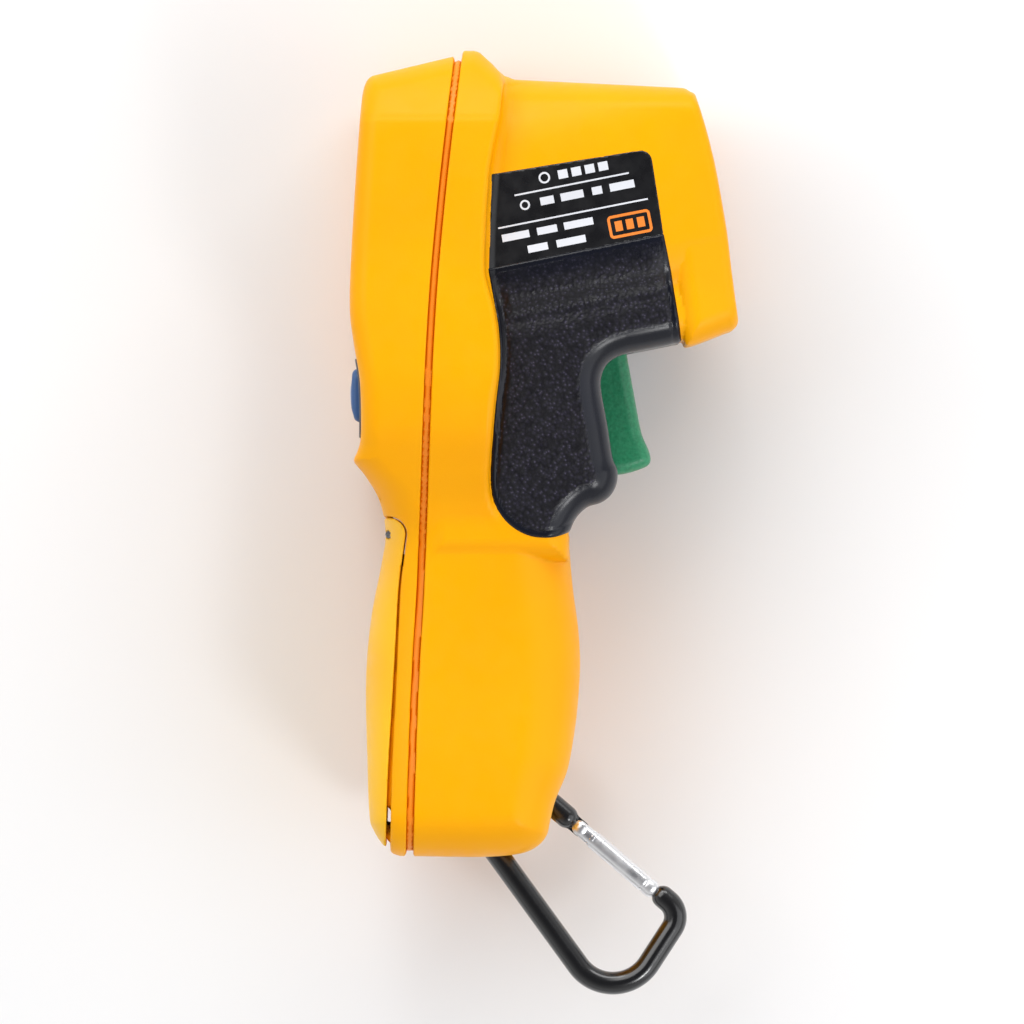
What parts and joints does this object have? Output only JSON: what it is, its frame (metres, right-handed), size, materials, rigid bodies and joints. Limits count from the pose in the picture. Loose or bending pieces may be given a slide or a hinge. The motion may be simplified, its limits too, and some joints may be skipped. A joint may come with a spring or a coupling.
{
  "type": "pistol-grip infrared thermometer",
  "caption": "Pistol-grip infrared thermometer: yellow two-part shell, black grip, green trigger, rear display and keys, hinged battery door, snap hook on the handle.",
  "frame": {"origin": "on the plane that the head's left side rests on, under the middle of the outline", "axes": "the instrument lies on its left side: +X towards the muzzle, +Y up the handle to the head, +Z from the left side to the right side"},
  "size_m": [0.0842, 0.2054, 0.075],
  "materials": {
    "shell_yellow": "fine moulded grain, satin",
    "seal_orange": "smooth satin",
    "grip_black": "leather grain, soft sheen",
    "label_black": "printed film, satin",
    "trim_black": "matte",
    "lens": "polished, coated",
    "steel": "plain",
    "board_green": "solder mask",
    "brass_turned": "turned",
    "laser_windows": "polished",
    "display_window": "polished",
    "lcd_panel": "liquid crystal panel",
    "backlight": "diffuser",
    "keypad_grey": "silicone, satin",
    "key_blue": "silicone, satin",
    "trigger_green": "satin",
    "door_yellow": "fine moulded grain, satin",
    "battery": "plain sleeve",
    "hook_black": "gloss black enamel",
    "gate_silver": "polished"
  },
  "bodies": {
    "case": {"front_housing": "shell_yellow", "rear_cover": "shell_yellow", "parting_seal": "seal_orange", "grip_wrap": "grip_black", "label_plate_right": "label_black", "label_plate_left": "label_black", "nose_bezel": "trim_black", "lens": "lens", "lens_barrel": "trim_black", "sensor_can": "steel", "sensor_board": "board_green", "laser_module_left": "brass_turned", "laser_module_right": "brass_turned", "laser_windows": "laser_windows", "display_window": "display_window", "display_frame": "trim_black", "lcd_panel": "lcd_panel", "backlight": "backlight", "main_board": "board_green", "buzzer": "trim_black", "key_switches": "steel", "keypad_frame": "keypad_grey", "trigger_pin": "steel", "trigger_spring": "steel", "trigger_switch": "trim_black", "door_pin": "steel", "battery_tray": "trim_black", "battery": "battery", "battery_spring": "steel", "battery_contact": "steel", "housing_screws": "steel", "board_screws": "steel"},
    "trigger": {"trigger": "trigger_green"},
    "battery_door": {"battery_door": "door_yellow"},
    "key_left": {"key_left": "key_blue"},
    "key_center": {"key_center": "key_blue"},
    "key_right": {"key_right": "key_blue"},
    "snap_hook": {"carabiner_body": "hook_black", "gate_rivet": "gate_silver", "gate_spring": "steel"},
    "hook_gate": {"carabiner_gate": "gate_silver"}
  },
  "joints": [
    {"name": "trigger_pull", "type": "hinge", "parent": "case", "child": "trigger", "pos_m": [0.0125, 0.043, 0.0375], "axis": [0, 0, -1], "range_deg": [0, 9], "stiffness_Nm_per_rad": 0.5, "springref_deg": -8.59, "deforming": ["trigger_spring"]},
    {"name": "battery_door_swing", "type": "hinge", "parent": "case", "child": "battery_door", "pos_m": [-0.0337, -0.0021, 0.0375], "axis": [0, 0, -1], "range_deg": [0, 90]},
    {"name": "key_left_press", "type": "slide", "parent": "case", "child": "key_left", "axis": [1, 0, 0], "range_m": [0, 0.0008], "stiffness_N_per_m": 900, "springref_m": -0.0008},
    {"name": "key_center_press", "type": "slide", "parent": "case", "child": "key_center", "axis": [1, 0, 0], "range_m": [0, 0.0008], "stiffness_N_per_m": 900, "springref_m": -0.0008},
    {"name": "key_right_press", "type": "slide", "parent": "case", "child": "key_right", "axis": [1, 0, 0], "range_m": [0, 0.0008], "stiffness_N_per_m": 900, "springref_m": -0.0008},
    {"name": "snap_hook_swing", "type": "hinge", "parent": "case", "child": "snap_hook", "pos_m": [-0.005, -0.0656, 0.0375], "axis": [0, 0, 1], "range_deg": [-42, 26]},
    {"name": "hook_gate_open", "type": "hinge", "parent": "snap_hook", "child": "hook_gate", "pos_m": [0.00804, -0.06635, 0.0375], "axis": [0, 0, -1], "range_deg": [0, 30], "stiffness_Nm_per_rad": 0.03, "springref_deg": -17.19, "deforming": ["gate_spring"]}
  ]
}
